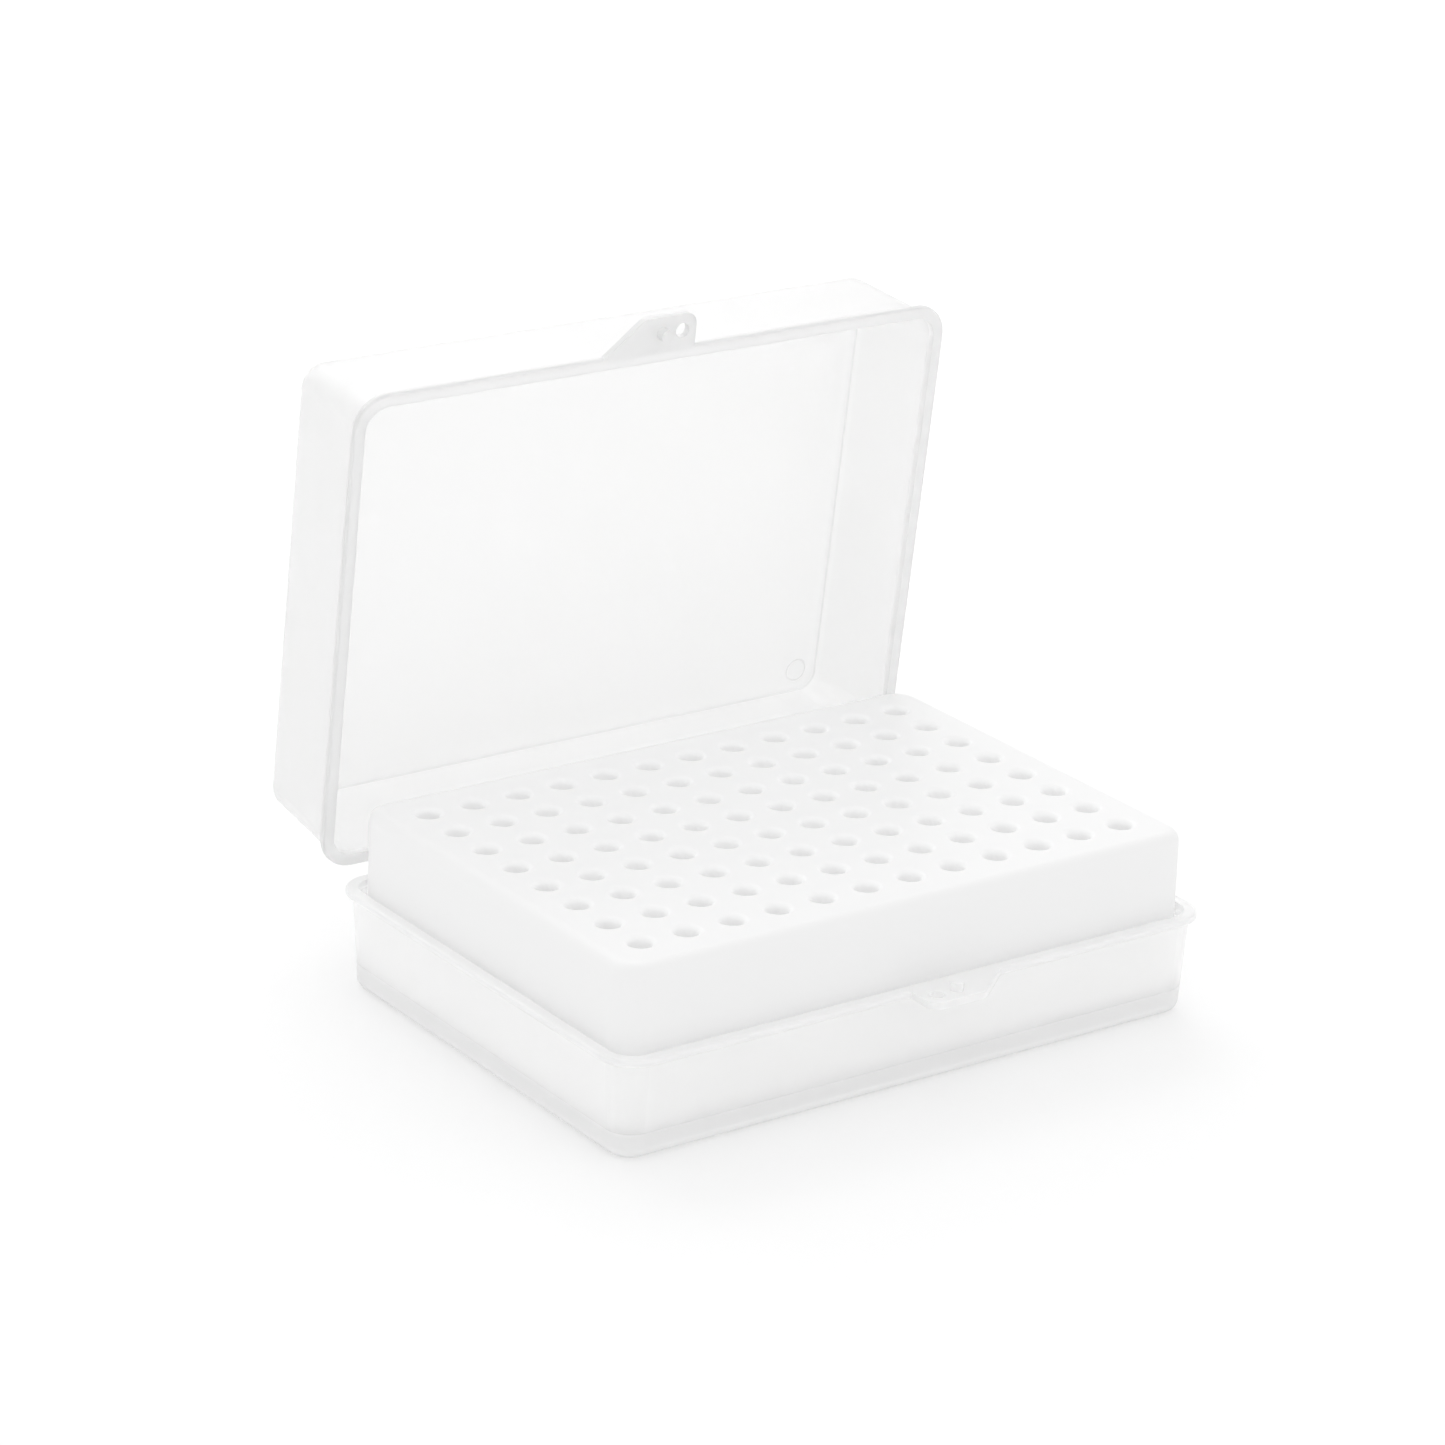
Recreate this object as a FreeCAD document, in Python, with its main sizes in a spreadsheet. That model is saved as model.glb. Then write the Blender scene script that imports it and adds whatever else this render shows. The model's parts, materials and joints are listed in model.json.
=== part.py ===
import FreeCAD, Part
import math
import os
import Sketcher

# Hinged 96-place laboratory box: a shallow base tray, a lift-out rack and a lid that stands open.
# X runs along the long side, Y towards the hinge and Z up. The origin is the middle of the tray's foot.
# All lengths are in millimetres and all angles in degrees.

Vector = FreeCAD.Vector

doc = FreeCAD.newDocument("storage_box")

# ---------------------------------------------------------------- driving dimensions

SIZES = [
    ("rim_length", 122.0, "outside length over the rim flange"),
    ("rim_depth", 87.6, "outside depth over the rim flange"),
    ("rim_corner", 6.4, "outside corner radius of the flange"),
    ("flange_out", 1.2, "how far the flange stands out of the wall"),
    ("flange_thick", 1.2, "thickness of the flange"),
    ("flange_round", 0.45, "rounding of the flange's outer edges"),
    ("wall", 1.0, "wall of the tray and the lid"),
    ("tray_draft", 3.2, "draft of the tray's walls"),
    ("tray_height", 18.4, "height of the tray's rim above its foot"),
    ("floor_thick", 1.6, "floor of the tray"),
    ("foot_round", 2.0, "rounding between the tray's wall and its foot"),
    ("lid_height", 21.8, "height of the lid above its rim"),
    ("lid_draft", 2.4, "draft of the lid's walls"),
    ("lid_plate", 1.2, "thickness of the lid's flat top"),
    ("lid_round", 2.2, "rounding between the lid's wall and its top"),
    ("inner_round", 0.3, "rounding inside the tray and the lid"),
    ("closing_gap", 0.15, "gap between the two rims when closed"),
    ("open_angle", 83.4, "angle of the open lid"),
    ("rack_length", 115.6, "outside length of the rack's top"),
    ("rack_depth", 80.4, "outside depth of the rack's top"),
    ("rack_corner", 4.4, "outside corner radius of the rack"),
    ("rack_height", 31.3, "height of the rack"),
    ("rack_draft", 0.5, "draft of the rack's walls"),
    ("rack_wall", 1.5, "wall of the rack's skirt"),
    ("rack_plate", 1.8, "thickness of the rack's top"),
    ("rack_round", 2.0, "rounding of the rack's top edge"),
    ("well_pitch", 9.0, "distance between neighbouring wells"),
    ("well_columns", 12, "wells along the length"),
    ("well_rows", 8, "wells along the depth"),
    ("well_radius", 2.0, "radius of a well"),
    ("hinge_back", 1.9, "hinge axis behind the rim"),
    ("hinge_drop", 1.8, "hinge axis below the tray's rim"),
    ("hinge_station", 34.0, "middle of a hinge, from the box's middle"),
    ("pin_radius", 1.0, "hinge pin moulded between two ears"),
    ("pin_play", 0.06, "radial clearance of the knuckle on its pin"),
    ("knuckle_radius", 2.0, "outside radius of the knuckle"),
    ("knuckle_width", 9.4, "width of the knuckle"),
    ("knuckle_mouth", 1.7, "snap-on mouth of the knuckle"),
    ("knuckle_rise", 3.8, "height of the knuckle's root on the lid's wall"),
    ("ear_gap", 10.0, "distance between the two ears of a hinge"),
    ("ear_thick", 1.6, "thickness of an ear"),
    ("ear_radius", 1.7, "radius of an ear around the pin"),
    ("ear_reach", 7.0, "length of an ear's root down the wall"),
    ("stop_gap", 0.12, "gap between the open knuckle and its stop"),
    ("stop_thick", 1.2, "thickness of the stop bar"),
    ("stop_rise", 1.0, "stop bar above the line from the hinge axis"),
    ("stop_fall", 1.6, "stop bar below the line from the hinge axis"),
    ("ear_sink", 0.6, "how far the hinge ears reach into the tray's wall"),
    ("knuckle_sink", 0.5, "how far the knuckles reach into the lid's wall"),
    ("cut_margin", 2.0, "how far a cut runs past what it cuts"),
    ("mouth_reach", 1.0, "how far the knuckle's mouth cut runs past it"),
    ("tab_centre", 1.4, "middle of the closed latch, from the box's middle"),
    ("tab_thick", 1.2, "thickness of a latch tab"),
    ("tab_out", 6.0, "how far a latch tab stands out of the rim"),
    ("tab_short", 4.9, "square side of a tab, from the latch's middle"),
    ("tab_root", 14.9, "slanted side at the rim, from the latch's middle"),
    ("tab_tip", 5.8, "slanted side at the tip, from the latch's middle"),
    ("tab_round", 2.2, "rounding of the tab's corners"),
    ("peg_offset", 2.05, "peg and hole from the latch's middle"),
    ("peg_out", 3.0, "peg and hole from the rim"),
    ("peg_radius", 1.12, "radius of the latch peg"),
    ("peg_height", 1.5, "height of the latch peg"),
    ("peg_hole_radius", 1.32, "radius of the latch hole"),
]

sheet = doc.addObject("Spreadsheet::Sheet", "sizes")
for row, (alias, value, meaning) in enumerate(SIZES, start=1):
    sheet.set(f"A{row}", alias)
    sheet.set(f"B{row}", str(value))
    sheet.set(f"C{row}", meaning)
    sheet.setAlias(f"B{row}", alias)
doc.recompute()


def size(alias):
    """The value of one spreadsheet cell."""
    return float(sheet.get(alias))


# Expressions that several features share.
HINGE_Y = "(sizes.rim_depth / 2 + sizes.hinge_back)"
HINGE_Z = "(sizes.tray_height - sizes.hinge_drop)"
LID_RIM_Z = "(sizes.tray_height + sizes.closing_gap)"
LID_TOP_Z = "(sizes.tray_height + sizes.closing_gap + sizes.lid_height)"
RACK_TOP_Z = "(sizes.floor_thick + sizes.rack_height)"

hinge_y = size("rim_depth") / 2 + size("hinge_back")
hinge_z = size("tray_height") - size("hinge_drop")
lid_rim_z = size("tray_height") + size("closing_gap")
lid_top_z = lid_rim_z + size("lid_height")
rack_top_z = size("floor_thick") + size("rack_height")


# ---------------------------------------------------------------- sketch helpers

def new_body(name):
    body = doc.addObject("PartDesign::Body", name)
    body.Label = name
    return body


def origin_plane(body, role):
    for feature in body.Origin.OriginFeatures:
        if feature.Role == role:
            return feature
    raise RuntimeError(f"{body.Label} has no {role}")


def new_sketch(body, name, role, offset):
    """A sketch parallel to an origin plane, offset along its normal by an expression."""
    sketch = body.newObject("Sketcher::SketchObject", name)
    sketch.AttachmentSupport = [(origin_plane(body, role), "")]
    sketch.MapMode = "FlatFace"
    sketch.setExpression("AttachmentOffset.Base.z", offset)
    return sketch


def bind(sketch, constraint, name, expression):
    """Add a constraint, name it and tie its value to the spreadsheet."""
    index = sketch.addConstraint(constraint)
    sketch.renameConstraint(index, name)
    sketch.setExpression(f"Constraints.{name}", expression)


def draw_rounded_rectangle(sketch, length, depth, corner):
    """A centred rectangle with rounded corners; each size is an expression."""
    half_x = 50.0
    half_y = 30.0
    radius = 5.0
    inner_x = half_x - radius
    inner_y = half_y - radius
    ends = [
        ((-inner_x, -half_y), (inner_x, -half_y)),
        ((half_x, -inner_y), (half_x, inner_y)),
        ((inner_x, half_y), (-inner_x, half_y)),
        ((-half_x, inner_y), (-half_x, -inner_y)),
    ]
    centres = [(inner_x, -inner_y), (inner_x, inner_y), (-inner_x, inner_y), (-inner_x, -inner_y)]
    for start, end in ends:
        sketch.addGeometry(Part.LineSegment(Vector(*start, 0), Vector(*end, 0)), False)
    for quarter, centre in enumerate(centres):
        circle = Part.Circle(Vector(*centre, 0), Vector(0, 0, 1), radius)
        first = math.radians(90 * quarter - 90)
        sketch.addGeometry(Part.ArcOfCircle(circle, first, first + math.radians(90)), False)
    for side in range(4):
        arc = side + 4
        sketch.addConstraint(Sketcher.Constraint("Tangent", side, 2, arc, 1))
        sketch.addConstraint(Sketcher.Constraint("Tangent", arc, 2, (side + 1) % 4, 1))
    for side in (0, 2):
        sketch.addConstraint(Sketcher.Constraint("Horizontal", side))
    for side in (1, 3):
        sketch.addConstraint(Sketcher.Constraint("Vertical", side))
    for arc in (5, 6, 7):
        sketch.addConstraint(Sketcher.Constraint("Equal", 4, arc))
    sketch.addConstraint(Sketcher.Constraint("Symmetric", 4, 3, 6, 3, -1, 1))
    bind(sketch, Sketcher.Constraint("Radius", 4, radius), "corner", corner)
    bind(sketch, Sketcher.Constraint("DistanceX", 3, 1, 1, 1, 2 * half_x), "length", length)
    bind(sketch, Sketcher.Constraint("DistanceY", 0, 1, 2, 1, 2 * half_y), "depth", depth)


def draw_circle(sketch, across, along, radius):
    """A circle placed by expressions for its centre and radius."""
    sketch.addGeometry(Part.Circle(Vector(1, 1, 0), Vector(0, 0, 1), 1), False)
    bind(sketch, Sketcher.Constraint("Radius", 0, 1.0), "radius", radius)
    bind(sketch, Sketcher.Constraint("DistanceX", -1, 1, 0, 3, 1.0), "across", across)
    bind(sketch, Sketcher.Constraint("DistanceY", -1, 1, 0, 3, 1.0), "along", along)


def draw_polygon(sketch, corners):
    """A closed outline whose corners are pairs (value, expression) for each coordinate."""
    count = len(corners)
    for index, (across, along) in enumerate(corners):
        following = corners[(index + 1) % count]
        start = Vector(across[0], along[0], 0)
        end = Vector(following[0][0], following[1][0], 0)
        sketch.addGeometry(Part.LineSegment(start, end), False)
    for index in range(count):
        sketch.addConstraint(Sketcher.Constraint("Coincident", index, 2, (index + 1) % count, 1))
    for index, (across, along) in enumerate(corners):
        bind(sketch, Sketcher.Constraint("DistanceX", -1, 1, index, 1, across[0]), f"across{index}", across[1])
        bind(sketch, Sketcher.Constraint("DistanceY", -1, 1, index, 1, along[0]), f"along{index}", along[1])


def settle():
    doc.recompute()


def add_pad(body, sketch, name, length, reverse=False, taper=None, midplane=False):
    pad = body.newObject("PartDesign::Pad", name)
    pad.Profile = sketch
    pad.setExpression("Length", length)
    pad.Reversed = reverse
    if midplane:
        pad.SideType = "Symmetric"
    if taper is not None:
        pad.setExpression("TaperAngle", taper)
    settle()
    return pad


def add_pocket(body, sketch, name, length, reverse=False, taper=None, midplane=False):
    """A pocket that is checked to remove material."""
    before = body.Shape.Volume
    pocket = body.newObject("PartDesign::Pocket", name)
    pocket.Profile = sketch
    pocket.setExpression("Length", length)
    pocket.Reversed = reverse
    if midplane:
        pocket.SideType = "Symmetric"
    if taper is not None:
        pocket.setExpression("TaperAngle", taper)
    settle()
    if body.Shape.Volume >= before - 1e-6:
        raise RuntimeError(f"{name} removes nothing")
    return pocket


def is_upright(edge):
    ends = [vertex.Point for vertex in edge.Vertexes]
    return len(ends) == 2 and abs(ends[0].z - ends[1].z) > 0.9 * edge.Length


def edges_where(shape, test, upright):
    """Names of the edges whose every vertex passes the test, or of the upright ones among them."""
    names = []
    for index, edge in enumerate(shape.Edges, start=1):
        passes = all(test(vertex.Point) for vertex in edge.Vertexes)
        if passes and (is_upright(edge) or not upright):
            names.append(f"Edge{index}")
    return names


def round_edges(body, name, radius, test, upright=False):
    base = body.Tip
    names = edges_where(base.Shape, test, upright)
    if not names:
        raise RuntimeError(f"{name} finds no edge")
    fillet = body.newObject("PartDesign::Fillet", name)
    fillet.Base = (base, names)
    fillet.setExpression("Radius", radius)
    settle()
    return fillet


def mirror_across(body, name, role, originals):
    mirrored = body.newObject("PartDesign::Mirrored", name)
    mirrored.Originals = originals
    mirrored.MirrorPlane = (origin_plane(body, role), [""])
    body.Tip = mirrored
    settle()
    return mirrored


def level(height, tolerance=1e-3):
    """A test for points at one height."""
    return lambda point: abs(point.z - height) < tolerance


# ---------------------------------------------------------------- shared by the tray and the lid

def add_shell(body, rim_z, height, plate, outer_round, draft, up):
    """A drafted box, open at its rim: pad the outside, add the flange, round it and hollow it.

    The walls grow from the rim towards the closed end. up is true for the lid, whose closed end
    is above its rim, and false for the tray.
    """
    rim_value, rim_expression = rim_z
    height_value, height_expression = height
    sign = 1 if up else -1
    end_value = rim_value + sign * height_value
    wall_length = "sizes.rim_length - 2 * sizes.flange_out"
    wall_depth = "sizes.rim_depth - 2 * sizes.flange_out"

    outside = new_sketch(body, f"{body.Name}_outside", "XY_Plane", rim_expression)
    draw_rounded_rectangle(outside, wall_length, wall_depth, "sizes.rim_corner - sizes.flange_out")
    add_pad(body, outside, f"{body.Name}_wall", height_expression, not up, f"-sizes.{draft}")
    round_edges(body, f"{body.Name}_end_round", f"sizes.{outer_round}", level(end_value))

    flange = new_sketch(body, f"{body.Name}_flange_outline", "XY_Plane", rim_expression)
    draw_rounded_rectangle(flange, "sizes.rim_length", "sizes.rim_depth", "sizes.rim_corner")
    add_pad(body, flange, f"{body.Name}_flange", "sizes.flange_thick", not up)
    flange_edge = size("rim_length") / 2 - 0.1
    flange_side = size("rim_depth") / 2 - 0.1
    corner_x = size("rim_length") / 2 - size("rim_corner") + 0.1
    corner_y = size("rim_depth") / 2 - size("rim_corner") + 0.1

    def on_flange(point):
        outermost = abs(point.x) > flange_edge or abs(point.y) > flange_side
        return outermost and (abs(point.x) < corner_x or abs(point.y) < corner_y)

    round_edges(body, f"{body.Name}_flange_round", "sizes.flange_round", on_flange)

    hollow = new_sketch(body, f"{body.Name}_hollow_outline", "XY_Plane", rim_expression)
    draw_rounded_rectangle(
        hollow,
        f"{wall_length} - 2 * sizes.wall",
        f"{wall_depth} - 2 * sizes.wall",
        "sizes.rim_corner - sizes.flange_out - sizes.wall",
    )
    hollow_depth = f"{height_expression} - sizes.{plate}"
    add_pocket(body, hollow, f"{body.Name}_hollow", hollow_depth, up, f"-sizes.{draft}")
    inner_end = end_value - sign * size(plate)
    round_edges(body, f"{body.Name}_inner_round", "sizes.inner_round", level(inner_end))


def tab_corners(side):
    """Corners of a latch tab: square on one side of the latch's middle and slanted on the other.

    side is 1 for the tray, whose slant faces +X, and -1 for the lid.
    """
    middle = size("tab_centre")
    rim = -size("rim_depth") / 2
    tip = rim - size("tab_out")
    root = rim + size("flange_out")
    sign = "+" if side > 0 else "-"
    other = "-" if side > 0 else "+"
    rim_line = (root, "-sizes.rim_depth / 2 + sizes.flange_out")
    tip_line = (tip, "-sizes.rim_depth / 2 - sizes.tab_out")
    short = (middle - side * size("tab_short"), f"sizes.tab_centre {other} sizes.tab_short")
    long_root = (middle + side * size("tab_root"), f"sizes.tab_centre {sign} sizes.tab_root")
    long_tip = (middle + side * size("tab_tip"), f"sizes.tab_centre {sign} sizes.tab_tip")
    return [(short, rim_line), (short, tip_line), (long_tip, tip_line), (long_root, rim_line)]


def add_latch(body, rim_z, up):
    """A flat tab in the rim's plane with one peg and one hole; the other half's are swapped."""
    rim_value, rim_expression = rim_z
    side = -1 if up else 1
    outline = new_sketch(body, f"{body.Name}_tab_outline", "XY_Plane", rim_expression)
    draw_polygon(outline, tab_corners(side))
    add_pad(body, outline, f"{body.Name}_tab", "sizes.tab_thick", not up)
    tip = -size("rim_depth") / 2 - size("tab_out")
    middle = size("tab_centre")
    short_x = middle - side * size("tab_short")
    tip_x = middle + side * size("tab_tip")

    def upright_corner(point):
        at_corner = abs(point.x - short_x) < 1e-3 or abs(point.x - tip_x) < 1e-3
        return at_corner and abs(point.y - tip) < 1e-3

    round_edges(body, f"{body.Name}_tab_round", "sizes.tab_round", upright_corner, True)

    peg_sign = "+" if side > 0 else "-"
    hole_sign = "-" if side > 0 else "+"
    along = "-sizes.rim_depth / 2 - sizes.peg_out"
    hole = new_sketch(body, f"{body.Name}_latch_hole_outline", "XY_Plane", rim_expression)
    draw_circle(hole, f"sizes.tab_centre {hole_sign} sizes.peg_offset", along, "sizes.peg_hole_radius")
    add_pocket(body, hole, f"{body.Name}_latch_hole", "sizes.tab_thick * 2", False, None, True)
    sunk = "- sizes.tab_thick / 2" if not up else "+ sizes.tab_thick / 2"
    peg = new_sketch(body, f"{body.Name}_peg_outline", "XY_Plane", f"{rim_expression} {sunk}")
    draw_circle(peg, f"sizes.tab_centre {peg_sign} sizes.peg_offset", along, "sizes.peg_radius")
    add_pad(body, peg, f"{body.Name}_peg", "sizes.peg_height + sizes.tab_thick / 2", up)


# ---------------------------------------------------------------- base tray

def make_tray():
    body = new_body("base_tray")
    rim_z = (size("tray_height"), "sizes.tray_height")
    add_shell(body, rim_z, rim_z, "floor_thick", "foot_round", "tray_draft", False)

    # Each hinge: two ears on the wall, a pin moulded between them and a bar that stops the open lid.
    station = "sizes.hinge_station"
    wall_y = size("rim_depth") / 2 - size("flange_out")
    wall_back = "sizes.rim_depth / 2 - sizes.flange_out"
    ear_width = "sizes.ear_gap + 2 * sizes.ear_thick"
    root_y = (wall_y - size("ear_sink"), f"{wall_back} - sizes.ear_sink")
    top_z = (size("tray_height"), "sizes.tray_height")
    axis_y = (hinge_y, HINGE_Y)
    axis_z = (hinge_z, HINGE_Z)
    low_z = (hinge_z - size("ear_radius"), f"{HINGE_Z} - sizes.ear_radius")
    foot_z = (size("tray_height") - size("ear_reach"), "sizes.tray_height - sizes.ear_reach")

    ear = new_sketch(body, "ear_outline", "YZ_Plane", station)
    draw_polygon(ear, [(root_y, top_z), (root_y, foot_z), (axis_y, low_z), (axis_y, top_z)])
    ear_pad = add_pad(body, ear, "ear_web", ear_width, False, None, True)
    eye = new_sketch(body, "ear_eye_outline", "YZ_Plane", station)
    draw_circle(eye, HINGE_Y, HINGE_Z, "sizes.ear_radius")
    eye_pad = add_pad(body, eye, "ear_eye", ear_width, False, None, True)

    # The knuckle's back ends at the angle below when the lid is open; the stop bar lies just past it.
    lean = "(45 - sizes.open_angle)"
    reach = "(sizes.knuckle_radius + sizes.stop_gap)"
    outer = "(sizes.knuckle_radius + sizes.stop_gap + sizes.stop_thick)"
    angle = math.radians(45 - size("open_angle"))
    near = size("knuckle_radius") + size("stop_gap")
    far = near + size("stop_thick")

    def bar_corner(distance, distance_text, sign, alias):
        """A point at a distance from the hinge axis, slid down (1) or up (-1) the bar's face by a size."""
        slide = sign * size(alias)
        slide_text = f"{sign} * sizes.{alias}"
        across = hinge_y + distance * math.cos(angle) + slide * math.sin(angle)
        along = hinge_z + distance * math.sin(angle) - slide * math.cos(angle)
        across_text = f"{HINGE_Y} + {distance_text} * cos({lean}) + {slide_text} * sin({lean})"
        along_text = f"{HINGE_Z} + {distance_text} * sin({lean}) - {slide_text} * cos({lean})"
        return (across, across_text), (along, along_text)

    bar_top = bar_corner(far, outer, -1, "stop_rise")
    bar_foot = bar_corner(far, outer, 1, "stop_fall")
    heel = new_sketch(body, "heel_outline", "YZ_Plane", station)
    draw_polygon(heel, [(axis_y, axis_z), (axis_y, low_z), bar_foot, bar_top])
    heel_pad = add_pad(body, heel, "ear_heel", ear_width, False, None, True)

    clear_y = (wall_y, wall_back)
    margin = size("cut_margin")
    far_y = (hinge_y + far + margin, f"{HINGE_Y} + {outer} + sizes.cut_margin")
    under_z = (margin, "sizes.cut_margin")
    over_z = (size("tray_height") + margin, "sizes.tray_height + sizes.cut_margin")
    gap = new_sketch(body, "ear_gap_outline", "YZ_Plane", station)
    draw_polygon(gap, [(clear_y, under_z), (far_y, under_z), (far_y, over_z), (clear_y, over_z)])
    gap_cut = add_pocket(body, gap, "ear_gap_cut", "sizes.ear_gap", False, None, True)

    pin = new_sketch(body, "pin_outline", "YZ_Plane", station)
    draw_circle(pin, HINGE_Y, HINGE_Z, "sizes.pin_radius")
    pin_pad = add_pad(body, pin, "hinge_pin", "sizes.ear_gap + sizes.ear_thick", False, None, True)

    bar = new_sketch(body, "stop_outline", "YZ_Plane", station)
    bar_inner_foot = bar_corner(near, reach, 1, "stop_fall")
    bar_inner_top = bar_corner(near, reach, -1, "stop_rise")
    draw_polygon(bar, [bar_top, bar_foot, bar_inner_foot, bar_inner_top])
    bar_pad = add_pad(body, bar, "stop_bar", "sizes.ear_gap + sizes.ear_thick", False, None, True)
    mirror_across(body, "second_hinge", "YZ_Plane", [ear_pad, eye_pad, heel_pad, gap_cut, pin_pad, bar_pad])

    add_latch(body, rim_z, False)
    return body


# ---------------------------------------------------------------- lid

def make_lid():
    body = new_body("lid")
    rim_z = (lid_rim_z, LID_RIM_Z)
    lid_height = (size("lid_height"), "sizes.lid_height")
    add_shell(body, rim_z, lid_height, "lid_plate", "lid_round", "lid_draft", True)

    # Each knuckle: a gusset down from the wall to a ring around the pin, with a snap-on mouth.
    station = "sizes.hinge_station"
    wall_y = size("rim_depth") / 2 - size("flange_out")
    wall_back = "sizes.rim_depth / 2 - sizes.flange_out"
    root_y = (wall_y - size("knuckle_sink"), f"{wall_back} - sizes.knuckle_sink")
    rim_level = (lid_rim_z, LID_RIM_Z)
    high_level = (lid_rim_z + size("knuckle_rise"), f"{LID_RIM_Z} + sizes.knuckle_rise")
    axis_y = (hinge_y, HINGE_Y)
    axis_z = (hinge_z, HINGE_Z)
    diagonal = size("knuckle_radius") * math.cos(math.radians(45))
    back_y = (hinge_y + diagonal, f"{HINGE_Y} + sizes.knuckle_radius * cos(45)")
    back_z = (hinge_z + diagonal, f"{HINGE_Z} + sizes.knuckle_radius * sin(45)")
    front_y = (hinge_y - size("knuckle_radius"), f"{HINGE_Y} - sizes.knuckle_radius")

    gusset = new_sketch(body, "gusset_outline", "YZ_Plane", station)
    draw_polygon(
        gusset,
        [
            (root_y, rim_level),
            (front_y, rim_level),
            (front_y, axis_z),
            (axis_y, axis_z),
            (back_y, back_z),
            (root_y, high_level),
        ],
    )
    gusset_pad = add_pad(body, gusset, "knuckle_gusset", "sizes.knuckle_width", False, None, True)
    ring = new_sketch(body, "ring_outline", "YZ_Plane", station)
    draw_circle(ring, HINGE_Y, HINGE_Z, "sizes.knuckle_radius")
    ring_pad = add_pad(body, ring, "knuckle_ring", "sizes.knuckle_width", False, None, True)
    bore = new_sketch(body, "bore_outline", "YZ_Plane", station)
    draw_circle(bore, HINGE_Y, HINGE_Z, "sizes.pin_radius + sizes.pin_play")
    through = "sizes.knuckle_width + sizes.cut_margin"
    bore_cut = add_pocket(body, bore, "knuckle_bore", through, False, None, True)

    # The mouth opens away from the gusset, down and back.
    half = size("knuckle_mouth") / 2
    reach = size("knuckle_radius") + size("mouth_reach")
    slope = math.cos(math.radians(45))

    def mouth_corner(out, side):
        out_text = "(sizes.knuckle_radius + sizes.mouth_reach)" if out else "0"
        distance = reach if out else 0.0
        across = hinge_y + (distance + side * half) * slope
        along = hinge_z + (-distance + side * half) * slope
        across_text = f"{HINGE_Y} + ({out_text} + {side} * sizes.knuckle_mouth / 2) * cos(45)"
        along_text = f"{HINGE_Z} + (-{out_text} + {side} * sizes.knuckle_mouth / 2) * cos(45)"
        return (across, across_text), (along, along_text)

    mouth = new_sketch(body, "mouth_outline", "YZ_Plane", station)
    draw_polygon(
        mouth,
        [mouth_corner(False, -1), mouth_corner(True, -1), mouth_corner(True, 1), mouth_corner(False, 1)],
    )
    mouth_cut = add_pocket(body, mouth, "knuckle_mouth_cut", through, False, None, True)
    mirror_across(body, "second_knuckle", "YZ_Plane", [gusset_pad, ring_pad, bore_cut, mouth_cut])

    add_latch(body, rim_z, True)

    # Everything above is drawn closed; the rest pose is open, turned about the hinge pins.
    body.setExpression(
        "Placement",
        "placement(vector(0; 0; 0); rotation(vector(1; 0; 0); -sizes.open_angle);"
        f" vector(0; {HINGE_Y}; {HINGE_Z}))",
    )
    settle()
    return body


# ---------------------------------------------------------------- rack

def make_rack():
    body = new_body("rack")
    outside = new_sketch(body, "rack_outside", "XY_Plane", RACK_TOP_Z)
    draw_rounded_rectangle(outside, "sizes.rack_length", "sizes.rack_depth", "sizes.rack_corner")
    add_pad(body, outside, "rack_block", "sizes.rack_height", True, "-sizes.rack_draft")
    round_edges(body, "rack_top_round", "sizes.rack_round", level(rack_top_z))

    hollow = new_sketch(body, "rack_hollow_outline", "XY_Plane", f"{RACK_TOP_Z} - sizes.rack_plate")
    draw_rounded_rectangle(
        hollow,
        "sizes.rack_length - 2 * sizes.rack_wall",
        "sizes.rack_depth - 2 * sizes.rack_wall",
        "sizes.rack_corner - sizes.rack_wall",
    )
    add_pocket(body, hollow, "rack_hollow", "sizes.rack_height", False, "-sizes.rack_draft")

    # One corner well, repeated along the length and the depth.
    well = new_sketch(body, "well_outline", "XY_Plane", f"{RACK_TOP_Z} + sizes.cut_margin")
    draw_circle(
        well,
        "-sizes.well_pitch * (sizes.well_columns - 1) / 2",
        "-sizes.well_pitch * (sizes.well_rows - 1) / 2",
        "sizes.well_radius",
    )
    first_well = add_pocket(body, well, "first_well", "sizes.rack_plate + 2 * sizes.cut_margin")
    grid = body.newObject("PartDesign::LinearPattern", "well_grid")
    grid.Originals = [first_well]
    grid.Direction = (well, ["H_Axis"])
    grid.setExpression("Length", "sizes.well_pitch * (sizes.well_columns - 1)")
    grid.Occurrences = int(size("well_columns"))
    grid.Direction2 = (well, ["V_Axis"])
    grid.setExpression("Length2", "sizes.well_pitch * (sizes.well_rows - 1)")
    grid.Occurrences2 = int(size("well_rows"))
    body.Tip = grid
    settle()
    return body


def part_the_rack(whole):
    """Part the rack just under its top rounding into the flat deck and the open skirt."""
    above = doc.addObject("Part::Box", "above_the_skirt")
    above.setExpression("Length", "2 * sizes.rack_length")
    above.setExpression("Width", "2 * sizes.rack_depth")
    above.setExpression("Height", "2 * sizes.rack_round")
    above.setExpression(".Placement.Base.x", "-sizes.rack_length")
    above.setExpression(".Placement.Base.y", "-sizes.rack_depth")
    above.setExpression(".Placement.Base.z", f"{RACK_TOP_Z} - sizes.rack_round")

    deck = doc.addObject("Part::Common", "rack_deck")
    deck.Base = whole
    deck.Tool = above
    skirt = doc.addObject("Part::Cut", "rack_skirt")
    skirt.Base = whole
    skirt.Tool = above
    settle()
    return [deck, skirt]


# ---------------------------------------------------------------- build, check and write

pieces = [make_tray(), make_lid()] + part_the_rack(make_rack())
settle()

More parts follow.
